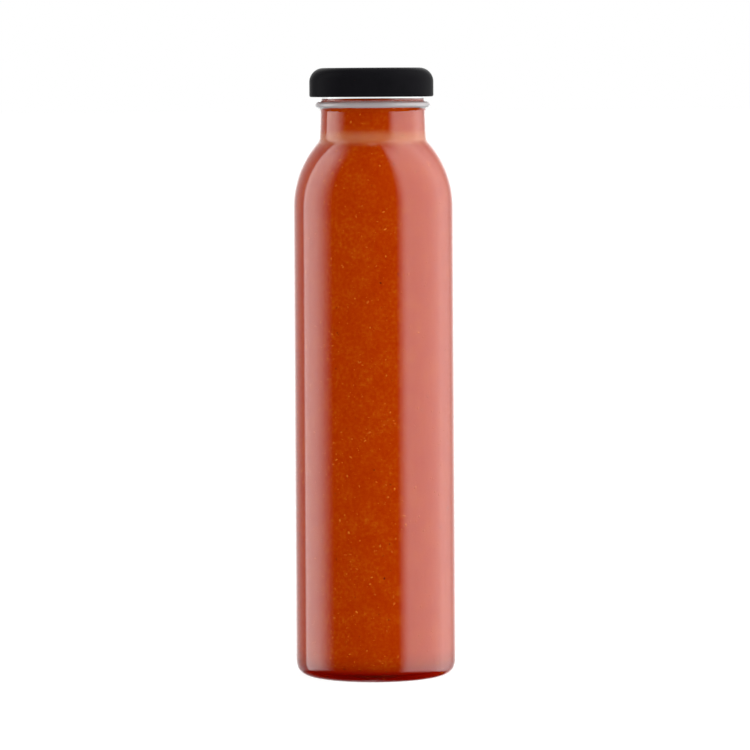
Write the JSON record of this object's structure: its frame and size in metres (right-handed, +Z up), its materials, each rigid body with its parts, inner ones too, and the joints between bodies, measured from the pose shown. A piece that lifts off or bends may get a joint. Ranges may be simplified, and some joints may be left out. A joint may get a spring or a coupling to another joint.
{
  "type": "ketchup bottle",
  "caption": "Slim clear glass bottle of orange-red tomato sauce with rounded shoulders, a short ringed neck and a black steel twist-off lid.",
  "frame": {"origin": "centre of the base, on the plane of the bearing ring that the bottle stands on", "axes": "+Z up along the bottle's own axis; X and Y level, with a lug of the lid on +X"},
  "size_m": [0.0527, 0.0526, 0.1997],
  "materials": {
    "clear_glass": "polished, clear",
    "tomato_sauce": "smooth wet sauce with fine pulp",
    "black_lacquer": "satin black lacquer"
  },
  "bodies": {
    "root": {"bottle": "clear_glass", "sauce": "tomato_sauce", "lid": "black_lacquer"}
  },
  "joints": []
}
